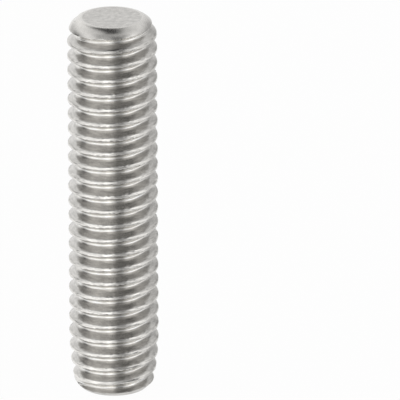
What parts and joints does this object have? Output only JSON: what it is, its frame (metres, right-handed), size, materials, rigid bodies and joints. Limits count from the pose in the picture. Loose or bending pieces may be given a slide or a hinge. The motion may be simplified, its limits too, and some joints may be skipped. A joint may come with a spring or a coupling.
{
  "type": "grub set screw",
  "caption": "Headless stainless steel set screw with a right-hand thread over its whole length, a hex socket at one end and a flat point at the other.",
  "frame": {"origin": "centre of the rim of the socket face, on the screw's axis, where the screw stands", "axes": "+Z along the screw's axis from the socket face to the flat point, +X through a corner of the hex socket"},
  "size_m": [0.0058, 0.0058, 0.0254],
  "materials": {
    "stainless": "rolled thread with satin flanks, bright crests and a fine turned grain on the end faces"
  },
  "bodies": {
    "root": {"set_screw": "stainless"}
  },
  "joints": []
}
